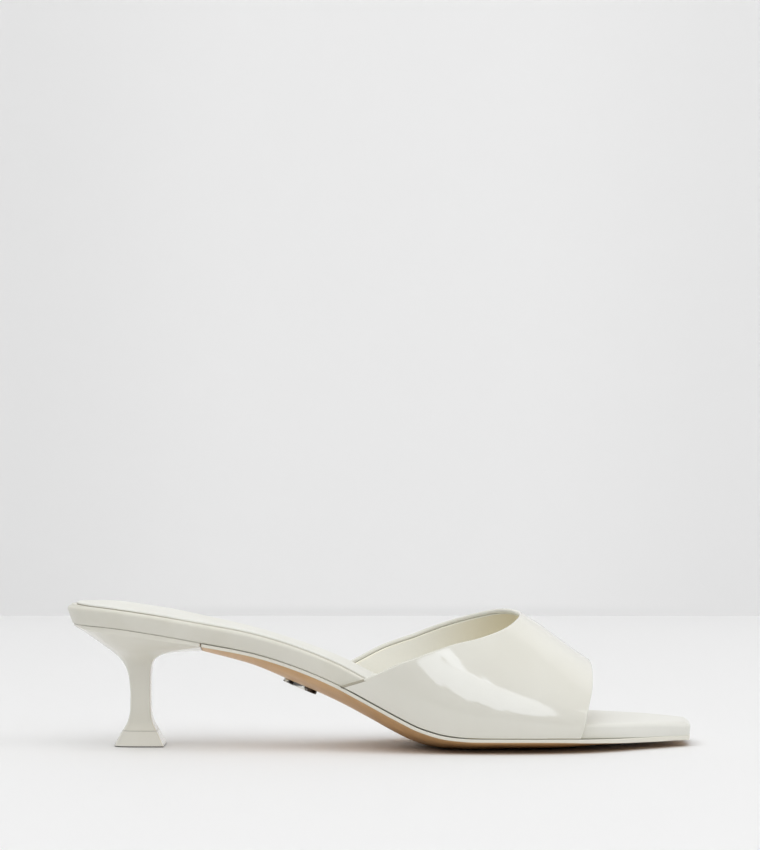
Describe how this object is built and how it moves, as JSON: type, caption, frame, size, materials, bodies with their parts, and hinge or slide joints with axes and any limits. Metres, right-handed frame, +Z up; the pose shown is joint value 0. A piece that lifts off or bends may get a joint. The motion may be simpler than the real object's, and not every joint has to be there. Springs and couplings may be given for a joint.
{
  "type": "dress sandal",
  "caption": "Right women's open-toe, open-back mule sandal: a patent vamp band on a wrapped padded footbed, a thin sole and a slender flared kitten heel.",
  "frame": {"origin": "on the floor, under the middle of the whole shoe's bounding box", "axes": "+X towards the toe, +Y towards the medial side (the wearer's left), +Z up"},
  "size_m": [0.2496, 0.0788, 0.0573],
  "materials": {
    "outsole": "waxed tan, with a cream painted edge",
    "footbed": "smooth wrapped leather, semi-gloss",
    "sock": "smooth lining leather, satin",
    "upper": "patent, high gloss",
    "heel": "painted, satin",
    "top_piece": "matt",
    "badge": "polished"
  },
  "bodies": {
    "root": {"outsole": "outsole", "footbed": "footbed", "sock": "sock", "upper": "upper", "heel": "heel", "top_piece": "top_piece", "badge": "badge"}
  },
  "joints": []
}
